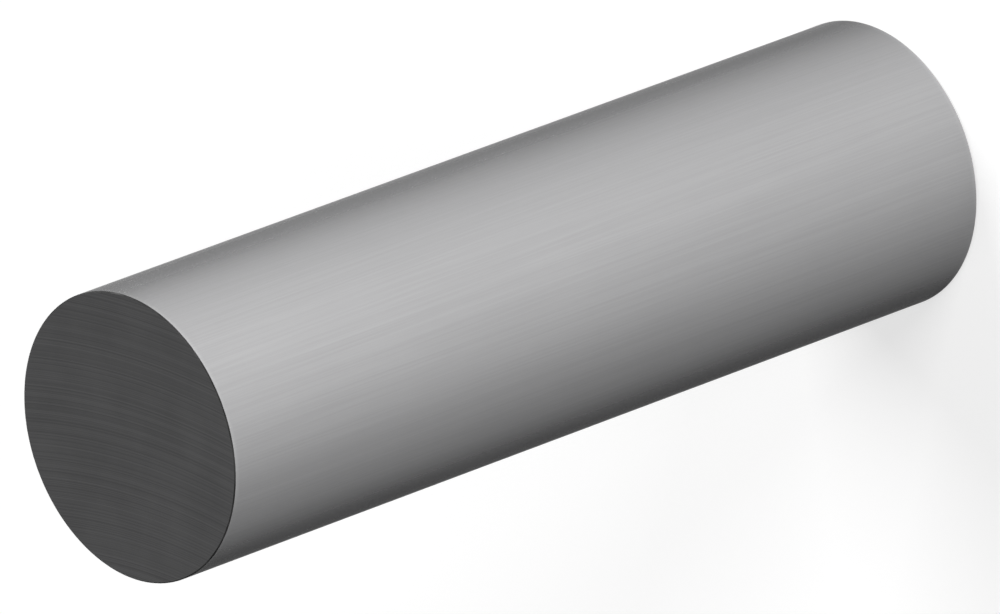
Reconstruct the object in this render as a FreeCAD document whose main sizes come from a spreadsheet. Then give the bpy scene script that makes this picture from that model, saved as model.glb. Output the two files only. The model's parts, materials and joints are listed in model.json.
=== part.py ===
import FreeCAD, Part
import math
import os

import Sketcher

# A cut length of solid round bar, standing on one end on a level floor.
# It is one piece of metal: a straight cylinder with two square-cut ends,
# and the sharp rim that the saw leaves at each end is broken with a small chamfer.
# The axis is Z. The origin is the centre of the bottom end, on the floor.
# Every size is in millimetres.

# alias, value, what it is
DRIVING_SIZES = [
    ("bar_diameter", 50.0, "outer diameter of the bar"),
    ("bar_length", 175.0, "length over the two cut ends, three and a half diameters"),
    ("edge_break", 0.2, "leg of the 45 degree chamfer round each end"),
]

NODE_NAME = "round_bar"
PARTS_FOLDER = "parts"
VOLUME_TOLERANCE = 1e-6


def add_size_sheet(doc):
    """The spreadsheet that holds the driving sizes, each under its own alias."""
    sheet = doc.addObject("Spreadsheet::Sheet", "Sizes")
    for row, (alias, value, meaning) in enumerate(DRIVING_SIZES, start=1):
        sheet.set(f"A{row}", meaning)
        sheet.set(f"B{row}", str(value))
        sheet.setAlias(f"B{row}", alias)
    doc.recompute()
    return sheet


def origin_plane(body, role):
    """One of a body's own origin planes, found by its role."""
    for feature in body.Origin.OriginFeatures:
        if feature.Role == role:
            return feature
    raise RuntimeError(f"{body.Label} has no {role}")


def add_bar_section(body):
    """The round cross-section, on the floor plane and centred on the axis."""
    section = body.newObject("Sketcher::SketchObject", "BarSection")
    section.AttachmentSupport = [(origin_plane(body, "XY_Plane"), "")]
    section.MapMode = "FlatFace"
    circle = section.addGeometry(Part.Circle())
    circle_centre, sketch_origin = (circle, 3), (-1, 1)
    section.addConstraint(Sketcher.Constraint("Coincident", *circle_centre, *sketch_origin))
    diameter = section.addConstraint(Sketcher.Constraint("Diameter", circle, 1))
    section.renameConstraint(diameter, "bar_diameter")
    section.setExpression("Constraints.bar_diameter", "Sizes.bar_diameter")
    return section


def add_bar_length(body, section):
    """The section drawn up from the floor to the bar's full length."""
    blank = body.newObject("PartDesign::Pad", "BarLength")
    blank.Profile = section
    blank.Type = "Length"
    blank.setExpression("Length", "Sizes.bar_length")
    return blank


def rim_names(shape):
    """The names of the circular edges, which are the rims of the two cut ends."""
    return [
        f"Edge{number}"
        for number, edge in enumerate(shape.Edges, start=1)
        if isinstance(edge.Curve, Part.Circle)
    ]


def add_edge_breaks(body, blank):
    """The small chamfer round both rims."""
    breaks = body.newObject("PartDesign::Chamfer", "EdgeBreaks")
    breaks.Base = (blank, rim_names(blank.Shape))
    breaks.ChamferType = "Equal distance"
    breaks.setExpression("Size", "Sizes.edge_break")
    return breaks


def make_round_bar(doc):
    """The whole bar as one body: section, length, edge breaks."""
    body = doc.addObject("PartDesign::Body", "RoundBar")
    body.Label = NODE_NAME
    section = add_bar_section(body)
    blank = add_bar_length(body, section)
    doc.recompute()
    body.Tip = add_edge_breaks(body, blank)
    doc.recompute()
    return body


def expected_volume(sheet):
    """Volume of a cylinder less the two rings that the edge breaks take away."""
    radius = sheet.bar_diameter / 2
    leg = sheet.edge_break
    cylinder = math.pi * radius**2 * sheet.bar_length
    ring = math.pi * leg**2 * (radius - leg / 3)
    return cylinder - 2 * ring


def check_document(doc):
    """Stops if any feature failed, because a failed recompute raises nothing."""
    for item in doc.Objects:
        if "Invalid" in item.State or "Error" in item.State:
            raise RuntimeError(f"{item.Name} did not build: {item.State}")


def check_bar(body, sheet):
    """Stops unless the bar is one valid closed solid of the volume that its sizes give."""
    shape = body.Shape
    if shape.isNull() or not shape.isValid() or len(shape.Solids) != 1:
        raise RuntimeError(f"{body.Label} is not one valid solid")
    wanted = expected_volume(sheet)
    if abs(shape.Volume - wanted) > VOLUME_TOLERANCE * wanted:
        raise RuntimeError(f"{body.Label} holds {shape.Volume} and not {wanted} cubic mm")


def main():
    doc = FreeCAD.newDocument("RoundBarStock")
    sheet = add_size_sheet(doc)
    bar = make_round_bar(doc)
    check_document(doc)
    check_bar(bar, sheet)
    os.makedirs(PARTS_FOLDER, exist_ok=True)
    bar.Shape.exportStep(os.path.join(PARTS_FOLDER, f"{bar.Label}.step"))
    extent = bar.Shape.BoundBox
    print(f"{bar.Label}: {extent.XLength:.2f} x {extent.YLength:.2f} x {extent.ZLength:.2f} mm,"
          f" volume {bar.Shape.Volume:.1f} cubic mm")


main()
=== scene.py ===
import json
import math

import bpy
from mathutils import Matrix, Vector


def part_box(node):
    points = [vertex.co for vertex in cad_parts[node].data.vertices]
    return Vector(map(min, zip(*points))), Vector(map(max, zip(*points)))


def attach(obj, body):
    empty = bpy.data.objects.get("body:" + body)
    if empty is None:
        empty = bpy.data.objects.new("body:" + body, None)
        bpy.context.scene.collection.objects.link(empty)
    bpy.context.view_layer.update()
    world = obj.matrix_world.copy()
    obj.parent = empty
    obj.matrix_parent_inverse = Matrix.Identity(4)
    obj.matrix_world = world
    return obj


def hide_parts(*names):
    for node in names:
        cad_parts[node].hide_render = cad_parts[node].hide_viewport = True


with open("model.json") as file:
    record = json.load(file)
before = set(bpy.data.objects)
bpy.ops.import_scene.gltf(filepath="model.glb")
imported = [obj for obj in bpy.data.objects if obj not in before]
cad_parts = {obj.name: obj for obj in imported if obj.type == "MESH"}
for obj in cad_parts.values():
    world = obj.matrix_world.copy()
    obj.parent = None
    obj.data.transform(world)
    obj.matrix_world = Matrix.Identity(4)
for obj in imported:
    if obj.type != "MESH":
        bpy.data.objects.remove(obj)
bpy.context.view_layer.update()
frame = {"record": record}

# A cut length of solid round bar in drawn steel, standing on one sawn end on a pale floor.
# The drawing die left fine lines along its wall, the saw left arcs across its ends,
# and the rim of each end is broken with a small chamfer.
# Lengths are in metres. The bar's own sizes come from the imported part.

MM = 0.001
BAR_NODE = "round_bar"
WALL_MOUNT = "outer_wall"

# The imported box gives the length. The mount on the outer wall gives the radius,
# and how much of the length the two edge breaks leave.
bar_low, bar_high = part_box(BAR_NODE)
wall_sizes = next(mount["dims"] for mount in frame["record"]["mounts"] if mount["name"] == WALL_MOUNT)
BAR_RADIUS = wall_sizes["r_mm"] * MM
BAR_LENGTH = bar_high.z - bar_low.z
EDGE_BREAK = (BAR_LENGTH - wall_sizes["length_mm"] * MM) / 2

# How finely the bar's mesh is divided: cells across an end, rows up the wall,
# and the angle between two faces past which their edge is sharp.
END_CELLS = 150
WALL_ROWS = 42
SHARP_ANGLE = math.radians(25)

# A face is part of an end, or of its broken edge, where its middle lies nearer to that end
# than this share of the edge break.
END_FACE_SHARE = 0.30
EDGE_FACE_SHARE = 0.95

# Marks that are deep enough to be in the bar's shape. The die's run along the bar, and the
# saw's are arcs about the middle of its blade. The two ends are two cuts, so each reads the
# noise behind its arcs from a place of its own, shifted by this many pitches.
DIE_MARK_DEPTH = 0.006 * MM
DIE_MARK_WIDTH = 1.1 * MM
DIE_MARK_LENGTH = 90 * MM
SAW_MARK_DEPTH = 0.03 * MM
SAW_MARK_PITCH = 1.1 * MM
SAW_BLADE_RADIUS = 140 * MM
CUT_SHIFT = 40.0

# Marks that are in the finishes alone: lines along the wall, the marks of single saw teeth,
# soft patches, and the rub that handling leaves beside the rims.
FINE_LINE_WIDTH = 0.30 * MM
FINE_LINE_LENGTH = 35 * MM
FINE_LINE_RELIEF = 0.006 * MM
BROAD_LINE_WIDTH = 2.4 * MM
BROAD_LINE_LENGTH = 150 * MM
TOOTH_MARK_PITCH = 0.28 * MM
TOOTH_MARK_RELIEF = 0.010 * MM
WALL_PATCH = 28 * MM
END_PATCH = 9 * MM
EDGE_PATCH = 4 * MM
RUB_WIDTH = 1.2 * MM

# The steel. A finish wanders between its dark and its pale tone, which are what it reflects
# straight on, and its glancing tint is what is left of that near a silhouette.
WALL_DARK = (0.197, 0.197, 0.199, 1.0)
WALL_PALE = (0.219, 0.219, 0.221, 1.0)
WALL_RUBBED = (0.245, 0.245, 0.247, 1.0)
WALL_GLANCING = (0.0, 0.0, 0.0, 1.0)
# The ends' dark tones are painted shade: the wall's steel made darker, as if the ends stood in shadow.
END_PAINTED_SHADE_DARK = (0.068, 0.068, 0.069, 1.0)
END_PAINTED_SHADE_PALE = (0.084, 0.084, 0.085, 1.0)
END_GLANCING = (0.20, 0.20, 0.20, 1.0)
EDGE_DARK = (0.018, 0.018, 0.018, 1.0)
EDGE_PALE = (0.036, 0.036, 0.036, 1.0)

# How rough each finish is, and how far that wanders to either side of it. The wall is glossier
# at a glance than straight on, fully so from this value of the Layer Weight's Facing.
WALL_ROUGHNESS = 0.72
WALL_GLANCING_ROUGHNESS = 0.42
WALL_GLANCE = 0.8
WALL_GRAIN = 0.02
END_ROUGHNESS = 0.75
END_GRAIN = 0.05
EDGE_ROUGHNESS = 0.66
EDGE_GRAIN = 0.03

# How much each kind of mark counts in the tone of its finish.
FINE_LINE_SHARE = 0.45
BROAD_LINE_SHARE = 0.35
WALL_PATCH_SHARE = 0.20
SAW_MARK_SHARE = 0.25
TOOTH_MARK_SHARE = 0.50
END_PATCH_SHARE = 0.25

# A noise keeps near the middle of its range, so this part of it is spread over the whole.
WALL_SPREAD = (0.32, 0.68)
END_SPREAD = (0.34, 0.66)
PATCH_SPREAD = (0.35, 0.65)

# The floor and the even light. The light on the floor and the floor's own glow together look
# white. The glow is this strong up to the near distance from the bar, and 1 past the far one.
# The world lights things as strongly as the ambient value says, and is 1 where it is seen.
FLOOR_SIDE = 30.0
FLOOR_DROP = 0.02 * MM
FLOOR_TONE = 0.50
FLOOR_GLOW = 0.55
FLOOR_NEAR = 0.5
FLOOR_FAR = 2.0
AMBIENT = 0.16
WHITE = (1.0, 1.0, 1.0, 1.0)

# The lamps are low softboxes in a ring round the bar. Each has its angle in degrees from the
# side nearest the camera, its width, and its power in watts.
LAMP_DISTANCE = 3.0
LAMP_HEIGHT = 0.9
LAMPS = [
    ("left_softbox", -10, 1.6, 100),
    ("key_softbox", 30, 1.6, 141),
    ("side_softbox", 98, 2.6, 292),
    ("rear_softbox", 205, 1.6, 52),
]

# The view. The camera stands round from the -Y side towards +X, and the bar's axis lies
# 49 degrees off its line of sight. The picture is rolled, so that the standing bar runs from
# its top end, lower left, to its foot, upper right: the axis angle is counted from the
# picture's right, anticlockwise.
PICTURE_WIDTH = 1000
PICTURE_CENTRE_PIXEL = (500.0, 307.0)
BAR_MIDDLE_PIXEL = (504.7, 298.7)
METRES_PER_PIXEL = 0.1669 * MM
LENS = 960.0
SENSOR = 36.0
CAMERA_AZIMUTH = math.radians(26)
AXIS_TO_SIGHT = math.radians(49)
AXIS_IN_PICTURE = math.radians(200.29)


# Helpers for node trees


def add_node(tree, kind, **settings):
    """A new node of that kind, with its settings."""
    node = tree.nodes.new(kind)
    for name, value in settings.items():
        setattr(node, name, value)
    return node


def fill(tree, socket, value):
    """Links an input to another node's output, or sets it to a plain value."""
    if isinstance(value, bpy.types.NodeSocket):
        tree.links.new(value, socket)
    else:
        socket.default_value = value


def calc(tree, operation, *values):
    """The result of a Math node."""
    node = add_node(tree, "ShaderNodeMath", operation=operation)
    for socket, value in zip(node.inputs, values):
        fill(tree, socket, value)
    return node.outputs["Value"]


def join_vector(tree, x, y, z):
    """A vector made of three values."""
    node = add_node(tree, "ShaderNodeCombineXYZ")
    for socket, value in zip(node.inputs, (x, y, z)):
        fill(tree, socket, value)
    return node.outputs["Vector"]


def split_vector(tree, vector):
    """The three values of a vector."""
    node = add_node(tree, "ShaderNodeSeparateXYZ")
    fill(tree, node.inputs["Vector"], vector)
    return node.outputs["X"], node.outputs["Y"], node.outputs["Z"]


def noise(tree, point, detail, roughness=0.6):
    """A Noise Texture in space whose features are about one unit of the point's size."""
    node = add_node(tree, "ShaderNodeTexNoise", noise_dimensions="3D")
    fill(tree, node.inputs["Vector"], point)
    node.inputs["Scale"].default_value = 1.0
    node.inputs["Detail"].default_value = detail
    node.inputs["Roughness"].default_value = roughness
    return node.outputs[0]


def noise_along(tree, distance, detail, roughness=0.65):
    """A Noise Texture that changes only with a distance, so that it draws bands."""
    node = add_node(tree, "ShaderNodeTexNoise", noise_dimensions="1D")
    fill(tree, node.inputs["W"], distance)
    node.inputs["Scale"].default_value = 1.0
    node.inputs["Detail"].default_value = detail
    node.inputs["Roughness"].default_value = roughness
    return node.outputs[0]


def remap(tree, value, low, high, to_low=0.0, to_high=1.0):
    """The value taken smoothly from one range to another, and held at its ends."""
    node = add_node(tree, "ShaderNodeMapRange", interpolation_type="SMOOTHSTEP")
    for socket, number in zip(node.inputs, (value, low, high, to_low, to_high)):
        fill(tree, socket, number)
    return node.outputs["Result"]


def weighted_sum(tree, *pairs):
    """The sum of values, each times its weight."""
    total = 0.0
    for value, weight in pairs:
        total = calc(tree, "MULTIPLY_ADD", value, weight, total)
    return total


def blend_colours(tree, share, first, second):
    """The first colour where the share is 0, and the second where it is 1."""
    node = add_node(tree, "ShaderNodeMix", data_type="RGBA")
    fill(tree, node.inputs["Factor"], share)
    colours = [socket for socket in node.inputs if socket.type == "RGBA"]
    fill(tree, colours[0], first)
    fill(tree, colours[1], second)
    return next(socket for socket in node.outputs if socket.type == "RGBA")


def new_group(name, kind, inputs, outputs):
    """An empty node group, the sockets that give its inputs, and those that take its outputs."""
    tree = bpy.data.node_groups.new(name, kind)
    for label, socket_type, default in inputs:
        socket = tree.interface.new_socket(label, in_out="INPUT", socket_type=socket_type)
        if default is not None:
            socket.default_value = default
    for label, socket_type in outputs:
        tree.interface.new_socket(label, in_out="OUTPUT", socket_type=socket_type)
    return tree, add_node(tree, "NodeGroupInput").outputs, add_node(tree, "NodeGroupOutput").inputs


def place_group(tree, group, point, *sizes):
    """The result of an effect group: the point first, then its sizes in order."""
    node = add_node(tree, "ShaderNodeGroup", node_tree=group)
    for socket, value in zip(node.inputs, (point, *sizes)):
        fill(tree, socket, value)
    return node.outputs[0]


def turns_from_blade(tree, x, y, side, blade_radius, pitch):
    """A point's distance from the middle of its end's blade, in pitches and with that end's shift."""
    blade_x = calc(tree, "MULTIPLY_ADD", side, blade_radius, x)
    squares = calc(tree, "MULTIPLY_ADD", blade_x, blade_x, calc(tree, "MULTIPLY", y, y))
    turns = calc(tree, "DIVIDE", calc(tree, "SQRT", squares), pitch)
    return calc(tree, "MULTIPLY_ADD", side, CUT_SHIFT, turns)


# The bar's shape


def round_section(tree, x, y):
    """A square's points from -1 to 1, moved so that its outline becomes the unit circle."""
    narrow_x = calc(tree, "SQRT", calc(tree, "MULTIPLY_ADD", calc(tree, "MULTIPLY", y, y), -0.5, 1.0))
    narrow_y = calc(tree, "SQRT", calc(tree, "MULTIPLY_ADD", calc(tree, "MULTIPLY", x, x), -0.5, 1.0))
    return calc(tree, "MULTIPLY", x, narrow_x), calc(tree, "MULTIPLY", y, narrow_y)


def bar_heights(tree, given, z, on_end, half_length):
    """Heights from the bar's middle: the two ends at its full length, the rows between on its wall."""
    half_wall = calc(tree, "SUBTRACT", half_length, given["Edge Break"])
    inner_rows = calc(tree, "SUBTRACT", 1.0, calc(tree, "DIVIDE", 2.0, given["Wall Rows"]))
    wall_scale = calc(tree, "DIVIDE", half_wall, inner_rows)
    end_step = calc(tree, "MULTIPLY", on_end, calc(tree, "SUBTRACT", half_length, wall_scale))
    return calc(tree, "MULTIPLY", z, calc(tree, "ADD", wall_scale, end_step))


def die_mark_depth(tree, given, round_x, round_y, height, on_end):
    """How deep the die marked the wall. The marks run along the bar and fade in and out."""
    widths = calc(tree, "DIVIDE", given["Radius"], given["Die Mark Width"])
    point = join_vector(
        tree,
        calc(tree, "MULTIPLY", round_x, widths),
        calc(tree, "MULTIPLY", round_y, widths),
        calc(tree, "DIVIDE", height, given["Die Mark Length"]),
    )
    depth = calc(tree, "MULTIPLY", noise(tree, point, detail=3.0), given["Die Mark Depth"])
    return calc(tree, "MULTIPLY", depth, calc(tree, "SUBTRACT", 1.0, on_end))


def saw_mark_depth(tree, given, place_x, place_y, side, on_end):
    """How deep the saw marked an end. Its blade came in from opposite sides at the two ends."""
    pitch = given["Saw Mark Pitch"]
    turns = turns_from_blade(tree, place_x, place_y, side, given["Blade Radius"], pitch)
    depth = calc(tree, "MULTIPLY", noise_along(tree, turns, detail=1.0), given["Saw Mark Depth"])
    return calc(tree, "MULTIPLY", depth, on_end)


def finish_faces(tree, given, geometry, half_length):
    """Gives each face its finish by how near its middle lies to an end."""
    middle = add_node(tree, "GeometryNodeInputPosition").outputs["Position"]
    height = calc(tree, "SUBTRACT", split_vector(tree, middle)[2], half_length)
    from_end = calc(tree, "SUBTRACT", half_length, calc(tree, "ABSOLUTE", height))
    edge_reach = calc(tree, "MULTIPLY", given["Edge Break"], EDGE_FACE_SHARE)
    end_reach = calc(tree, "MULTIPLY", given["Edge Break"], END_FACE_SHARE)
    on_edge = calc(tree, "LESS_THAN", from_end, edge_reach)
    on_cut = calc(tree, "LESS_THAN", from_end, end_reach)
    for finish, chosen in (("Drawn Wall", True), ("Broken Edge", on_edge), ("Sawn End", on_cut)):
        painted = add_node(tree, "GeometryNodeSetMaterial")
        fill(tree, painted.inputs["Geometry"], geometry)
        fill(tree, painted.inputs["Selection"], chosen)
        fill(tree, painted.inputs["Material"], given[finish])
        geometry = painted.outputs["Geometry"]
    return geometry


def bar_shape_tree():
    """Geometry nodes that round a divided box into the bar, with the die's and the saw's marks."""
    inputs = [
        ("Radius", "NodeSocketFloat", BAR_RADIUS),
        ("Length", "NodeSocketFloat", BAR_LENGTH),
        ("Edge Break", "NodeSocketFloat", EDGE_BREAK),
        ("End Cells", "NodeSocketInt", END_CELLS),
        ("Wall Rows", "NodeSocketInt", WALL_ROWS),
        ("Die Mark Depth", "NodeSocketFloat", DIE_MARK_DEPTH),
        ("Die Mark Width", "NodeSocketFloat", DIE_MARK_WIDTH),
        ("Die Mark Length", "NodeSocketFloat", DIE_MARK_LENGTH),
        ("Saw Mark Depth", "NodeSocketFloat", SAW_MARK_DEPTH),
        ("Saw Mark Pitch", "NodeSocketFloat", SAW_MARK_PITCH),
        ("Blade Radius", "NodeSocketFloat", SAW_BLADE_RADIUS),
        ("Drawn Wall", "NodeSocketMaterial", None),
        ("Sawn End", "NodeSocketMaterial", None),
        ("Broken Edge", "NodeSocketMaterial", None),
    ]
    outputs = [("Bar", "NodeSocketGeometry")]
    tree, given, result = new_group("RoundBarShape", "GeometryNodeTree", inputs, outputs)

    box = add_node(tree, "GeometryNodeMeshCube")
    fill(tree, box.inputs["Size"], (2.0, 2.0, 2.0))
    fill(tree, box.inputs["Vertices X"], calc(tree, "ADD", given["End Cells"], 1.0))
    fill(tree, box.inputs["Vertices Y"], calc(tree, "ADD", given["End Cells"], 1.0))
    fill(tree, box.inputs["Vertices Z"], calc(tree, "ADD", given["Wall Rows"], 1.0))
    x, y, z = split_vector(tree, add_node(tree, "GeometryNodeInputPosition").outputs["Position"])

    nearly_at_end = 0.999
    side = calc(tree, "SIGN", z)
    on_end = calc(tree, "GREATER_THAN", calc(tree, "ABSOLUTE", z), nearly_at_end)
    half_length = calc(tree, "MULTIPLY", given["Length"], 0.5)
    round_x, round_y = round_section(tree, x, y)
    height = bar_heights(tree, given, z, on_end, half_length)

    lost_to_edge = calc(tree, "MULTIPLY", on_end, given["Edge Break"])
    lost_to_die = die_mark_depth(tree, given, round_x, round_y, height, on_end)
    reach = calc(tree, "SUBTRACT", given["Radius"], calc(tree, "ADD", lost_to_edge, lost_to_die))
    place_x = calc(tree, "MULTIPLY", round_x, reach)
    place_y = calc(tree, "MULTIPLY", round_y, reach)
    lost_to_saw = saw_mark_depth(tree, given, place_x, place_y, side, on_end)
    height = calc(tree, "SUBTRACT", height, calc(tree, "MULTIPLY", side, lost_to_saw))
    place_z = calc(tree, "ADD", height, half_length)

    placed = add_node(tree, "GeometryNodeSetPosition")
    fill(tree, placed.inputs["Geometry"], box.outputs["Mesh"])
    fill(tree, placed.inputs["Position"], join_vector(tree, place_x, place_y, place_z))
    smooth = add_node(tree, "GeometryNodeSetShadeSmooth")
    fill(tree, smooth.inputs["Geometry"], placed.outputs["Geometry"])
    realized = add_node(tree, "GeometryNodeRealizeInstances")
    fill(tree, realized.inputs["Geometry"], smooth.outputs["Geometry"])
    fill(tree, result["Bar"], finish_faces(tree, given, realized.outputs["Geometry"], half_length))
    return tree


def make_bar(finishes):
    """The bar as one plain closed mesh, with its finishes given by the names of the tree's inputs."""
    tree = bar_shape_tree()
    maker = bpy.data.objects.new("bar_maker", bpy.data.meshes.new("bar_maker"))
    bpy.context.scene.collection.objects.link(maker)
    modifier = maker.modifiers.new("RoundBarShape", "NODES")
    modifier.node_group = tree
    for socket in tree.interface.items_tree:
        if socket.name in finishes:
            modifier[socket.identifier] = finishes[socket.name]
    mesh = bpy.data.meshes.new_from_object(maker.evaluated_get(bpy.context.evaluated_depsgraph_get()))
    maker.modifiers.remove(modifier)
    bpy.data.objects.remove(maker)
    mesh.name = "drawn_bar"
    mesh.set_sharp_from_angle(angle=SHARP_ANGLE)
    bar = bpy.data.objects.new("drawn_bar", mesh)
    bpy.context.scene.collection.objects.link(bar)
    return bar


# The effects that the finishes are made of


def streaks_group():
    """Fine lines that run along the bar, as a value from 0 to 1."""
    inputs = [
        ("Point", "NodeSocketVector", None),
        ("Width", "NodeSocketFloat", FINE_LINE_WIDTH),
        ("Length", "NodeSocketFloat", FINE_LINE_LENGTH),
    ]
    outputs = [("Streaks", "NodeSocketFloat")]
    tree, given, result = new_group("AxisStreaks", "ShaderNodeTree", inputs, outputs)
    x, y, z = split_vector(tree, given["Point"])
    across_x = calc(tree, "DIVIDE", x, given["Width"])
    across_y = calc(tree, "DIVIDE", y, given["Width"])
    along = calc(tree, "DIVIDE", z, given["Length"])
    lines = noise(tree, join_vector(tree, across_x, across_y, along), detail=3.0)
    fill(tree, result["Streaks"], lines)
    return tree


def patches_group():
    """Soft uneven patches, as a value from 0 to 1."""
    inputs = [
        ("Point", "NodeSocketVector", None),
        ("Patch", "NodeSocketFloat", WALL_PATCH),
    ]
    outputs = [("Patches", "NodeSocketFloat")]
    tree, given, result = new_group("SoftPatches", "ShaderNodeTree", inputs, outputs)
    parts = split_vector(tree, given["Point"])
    scaled = [calc(tree, "DIVIDE", value, given["Patch"]) for value in parts]
    fill(tree, result["Patches"], noise(tree, join_vector(tree, *scaled), detail=4.0, roughness=0.55))
    return tree


def saw_arcs_group():
    """Bands that follow the saw blade across an end, as a value from 0 to 1."""
    inputs = [
        ("Point", "NodeSocketVector", None),
        ("Pitch", "NodeSocketFloat", SAW_MARK_PITCH),
        ("Blade Radius", "NodeSocketFloat", SAW_BLADE_RADIUS),
        ("Middle Height", "NodeSocketFloat", BAR_LENGTH / 2),
    ]
    outputs = [("Arcs", "NodeSocketFloat")]
    tree, given, result = new_group("SawArcs", "ShaderNodeTree", inputs, outputs)
    x, y, z = split_vector(tree, given["Point"])
    side = calc(tree, "SIGN", calc(tree, "SUBTRACT", z, given["Middle Height"]))
    turns = turns_from_blade(tree, x, y, side, given["Blade Radius"], given["Pitch"])
    fill(tree, result["Arcs"], noise_along(tree, turns, detail=2.0))
    return tree


# The bar's finishes


def new_finish(name, glancing_tint):
    """A metal with its tree, its shader's sockets and its piece's own coordinates."""
    material = bpy.data.materials.new(name)
    material.use_nodes = True
    tree = material.node_tree
    tree.nodes.clear()
    shader = add_node(tree, "ShaderNodeBsdfPrincipled")
    output = add_node(tree, "ShaderNodeOutputMaterial")
    tree.links.new(shader.outputs["BSDF"], output.inputs["Surface"])
    shader.inputs["Metallic"].default_value = 1.0
    shader.inputs["Specular Tint"].default_value = glancing_tint
    point = add_node(tree, "ShaderNodeTexCoord").outputs["Object"]
    return material, tree, shader.inputs, point


def add_relief(tree, sockets, height, depth):
    """Fine relief of a given depth on the shader's normal."""
    bump = add_node(tree, "ShaderNodeBump")
    bump.inputs["Distance"].default_value = depth
    fill(tree, bump.inputs["Height"], height)
    fill(tree, sockets["Normal"], bump.outputs["Normal"])


def rim_rub(tree, point, soft):
    """How much handling has rubbed the wall, beside its two rims only, and unevenly round them."""
    height = calc(tree, "SUBTRACT", split_vector(tree, point)[2], BAR_LENGTH / 2)
    from_end = calc(tree, "SUBTRACT", BAR_LENGTH / 2, calc(tree, "ABSOLUTE", height))
    near_rim = remap(tree, from_end, EDGE_BREAK, RUB_WIDTH, 1.0, 0.0)
    return calc(tree, "MULTIPLY", near_rim, remap(tree, soft, *PATCH_SPREAD))


def drawn_wall(streaks, patches):
    """The wall as the die left it: satin grey, with fine lines along the bar."""
    material, tree, sockets, point = new_finish("drawn_wall", WALL_GLANCING)
    fine = place_group(tree, streaks, point, FINE_LINE_WIDTH, FINE_LINE_LENGTH)
    broad = place_group(tree, streaks, point, BROAD_LINE_WIDTH, BROAD_LINE_LENGTH)
    soft = place_group(tree, patches, point, WALL_PATCH)
    tone = weighted_sum(tree, (fine, FINE_LINE_SHARE), (broad, BROAD_LINE_SHARE), (soft, WALL_PATCH_SHARE))
    colour = blend_colours(tree, remap(tree, tone, *WALL_SPREAD), WALL_DARK, WALL_PALE)
    rubbed = rim_rub(tree, point, soft)
    fill(tree, sockets["Base Color"], blend_colours(tree, rubbed, colour, WALL_RUBBED))
    facing = add_node(tree, "ShaderNodeLayerWeight").outputs["Facing"]
    gloss = remap(tree, facing, 0.0, WALL_GLANCE, WALL_ROUGHNESS, WALL_GLANCING_ROUGHNESS)
    grain = remap(tree, tone, *WALL_SPREAD, WALL_GRAIN, -WALL_GRAIN)
    fill(tree, sockets["Roughness"], calc(tree, "ADD", gloss, grain))
    add_relief(tree, sockets, fine, FINE_LINE_RELIEF)
    return material


def sawn_end(arcs, patches):
    """The sawn ends: matt, with the arcs of the blade, and made darker by painted shade."""
    material, tree, sockets, point = new_finish("sawn_end", END_GLANCING)
    bands = place_group(tree, arcs, point, SAW_MARK_PITCH, SAW_BLADE_RADIUS, BAR_LENGTH / 2)
    teeth = place_group(tree, arcs, point, TOOTH_MARK_PITCH, SAW_BLADE_RADIUS, BAR_LENGTH / 2)
    soft = place_group(tree, patches, point, END_PATCH)
    tone = weighted_sum(tree, (bands, SAW_MARK_SHARE), (teeth, TOOTH_MARK_SHARE), (soft, END_PATCH_SHARE))
    colour = blend_colours(tree, remap(tree, tone, *END_SPREAD), END_PAINTED_SHADE_DARK, END_PAINTED_SHADE_PALE)
    fill(tree, sockets["Base Color"], colour)
    grain = remap(tree, tone, *END_SPREAD, END_ROUGHNESS + END_GRAIN, END_ROUGHNESS - END_GRAIN)
    fill(tree, sockets["Roughness"], grain)
    add_relief(tree, sockets, teeth, TOOTH_MARK_RELIEF)
    return material


def broken_edge(patches):
    """The broken edge round each end: a thin dark line, a little uneven."""
    material, tree, sockets, point = new_finish("broken_edge", WALL_GLANCING)
    soft = place_group(tree, patches, point, EDGE_PATCH)
    colour = blend_colours(tree, remap(tree, soft, *PATCH_SPREAD), EDGE_DARK, EDGE_PALE)
    fill(tree, sockets["Base Color"], colour)
    grain = remap(tree, soft, *PATCH_SPREAD, EDGE_ROUGHNESS + EDGE_GRAIN, EDGE_ROUGHNESS - EDGE_GRAIN)
    fill(tree, sockets["Roughness"], grain)
    return material


# The studio


def seen_directly(tree):
    """1 for what the camera, a reflection or a clear material sees, and 0 for what only gives light."""
    path = add_node(tree, "ShaderNodeLightPath").outputs
    seen = calc(tree, "MAXIMUM", path["Is Camera Ray"], path["Is Glossy Ray"])
    return calc(tree, "MAXIMUM", seen, path["Is Transmission Ray"])


def make_floor():
    """A plain pale floor that looks white and keeps the bar's soft shadow."""
    half = FLOOR_SIDE / 2
    outline = [(-half, -half), (half, -half), (half, half), (-half, half)]
    corners = [(x, y, -FLOOR_DROP) for x, y in outline]
    mesh = bpy.data.meshes.new("floor")
    mesh.from_pydata(corners, [], [(0, 1, 2, 3)])
    floor = bpy.data.objects.new("floor", mesh)
    bpy.context.scene.collection.objects.link(floor)
    material = bpy.data.materials.new("pale_floor")
    material.use_nodes = True
    tree = material.node_tree
    shader = tree.nodes["Principled BSDF"].inputs
    shader["Base Color"].default_value = (FLOOR_TONE, FLOOR_TONE, FLOOR_TONE, 1.0)
    shader["Roughness"].default_value = 1.0
    shader["Specular IOR Level"].default_value = 0.0
    shader["Emission Color"].default_value = WHITE
    distance = add_node(tree, "ShaderNodeVectorMath", operation="LENGTH")
    fill(tree, distance.inputs["Vector"], add_node(tree, "ShaderNodeTexCoord").outputs["Object"])
    glow = remap(tree, distance.outputs["Value"], FLOOR_NEAR, FLOOR_FAR, FLOOR_GLOW, 1.0)
    fill(tree, shader["Emission Strength"], calc(tree, "MULTIPLY", seen_directly(tree), glow))
    mesh.materials.append(material)


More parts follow.
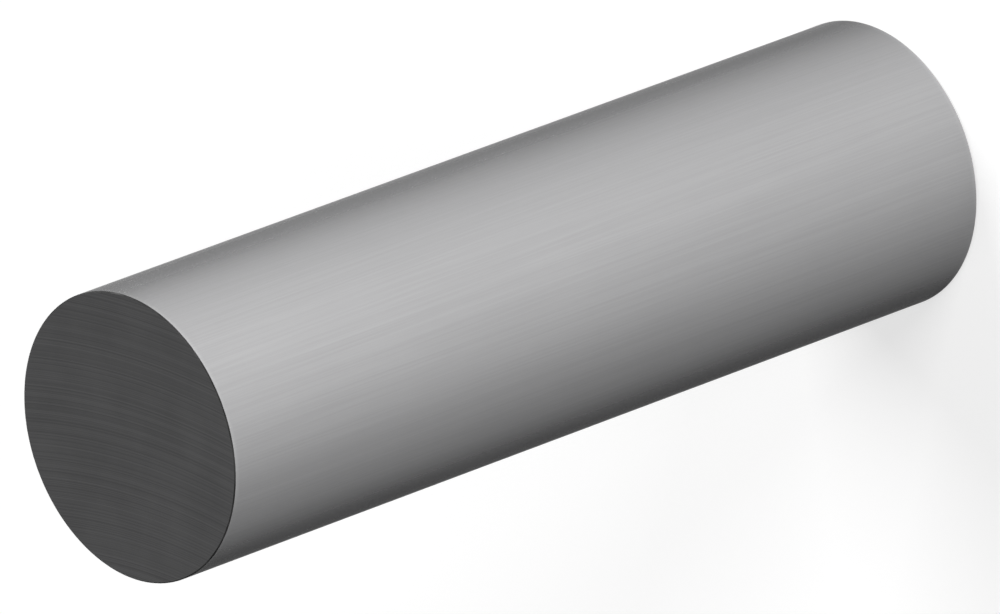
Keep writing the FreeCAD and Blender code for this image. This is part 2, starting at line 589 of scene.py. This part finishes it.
def make_world():
    """Even light from all round, which is white where it is seen."""
    world = bpy.data.worlds.new("studio")
    bpy.context.scene.world = world
    world.use_nodes = True
    tree = world.node_tree
    background = tree.nodes["Background"].inputs
    background["Color"].default_value = WHITE
    fill(tree, background["Strength"], calc(tree, "MAXIMUM", seen_directly(tree), AMBIENT))


def make_lamps():
    """Low softboxes round the bar. They light its wall and only skim over its top end."""
    for name, angle, width, power in LAMPS:
        azimuth = CAMERA_AZIMUTH + math.radians(angle)
        away = Vector((math.sin(azimuth), -math.cos(azimuth), 0.0))
        data = bpy.data.lights.new(name, "AREA")
        data.shape = "RECTANGLE"
        data.size = width
        data.size_y = LAMP_HEIGHT
        data.energy = power
        lamp = bpy.data.objects.new(name, data)
        lamp.location = away * LAMP_DISTANCE + Vector((0.0, 0.0, LAMP_HEIGHT / 2))
        lamp.rotation_mode = "QUATERNION"
        lamp.rotation_quaternion = (-away).to_track_quat("-Z", "Y")
        lamp.visible_camera = False
        bpy.context.scene.collection.objects.link(lamp)


def make_camera():
    """A long lens at the picture's viewing angle, rolled about the line of sight."""
    axis = Vector((0.0, 0.0, 1.0))
    towards = Vector((math.sin(CAMERA_AZIMUTH), -math.cos(CAMERA_AZIMUTH), 0.0))
    sideways = axis.cross(towards)
    back = math.cos(AXIS_TO_SIGHT) * axis + math.sin(AXIS_TO_SIGHT) * towards
    axis_seen = math.sin(AXIS_TO_SIGHT) * axis - math.cos(AXIS_TO_SIGHT) * towards
    right = math.cos(AXIS_IN_PICTURE) * axis_seen + math.sin(AXIS_IN_PICTURE) * sideways
    up = math.sin(AXIS_IN_PICTURE) * axis_seen - math.cos(AXIS_IN_PICTURE) * sideways

    distance = LENS / SENSOR * PICTURE_WIDTH * METRES_PER_PIXEL
    off_right = (PICTURE_CENTRE_PIXEL[0] - BAR_MIDDLE_PIXEL[0]) * METRES_PER_PIXEL
    off_down = (PICTURE_CENTRE_PIXEL[1] - BAR_MIDDLE_PIXEL[1]) * METRES_PER_PIXEL
    bar_middle = Vector((0.0, 0.0, BAR_LENGTH / 2))
    place = bar_middle + off_right * right - off_down * up + distance * back

    data = bpy.data.cameras.new("camera")
    data.lens = LENS
    data.sensor_width = SENSOR
    data.clip_end = FLOOR_SIDE
    camera = bpy.data.objects.new("camera", data)
    camera.matrix_world = Matrix.Translation(place) @ Matrix((right, up, back)).transposed().to_4x4()
    bpy.context.scene.collection.objects.link(camera)
    bpy.context.scene.camera = camera


bpy.context.scene.view_settings.view_transform = "Standard"
streaks = streaks_group()
patches = patches_group()
arcs = saw_arcs_group()
bar = make_bar({
    "Drawn Wall": drawn_wall(streaks, patches),
    "Sawn End": sawn_end(arcs, patches),
    "Broken Edge": broken_edge(patches),
})
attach(bar, "root")
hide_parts(BAR_NODE)
make_floor()
make_world()
make_lamps()
make_camera()
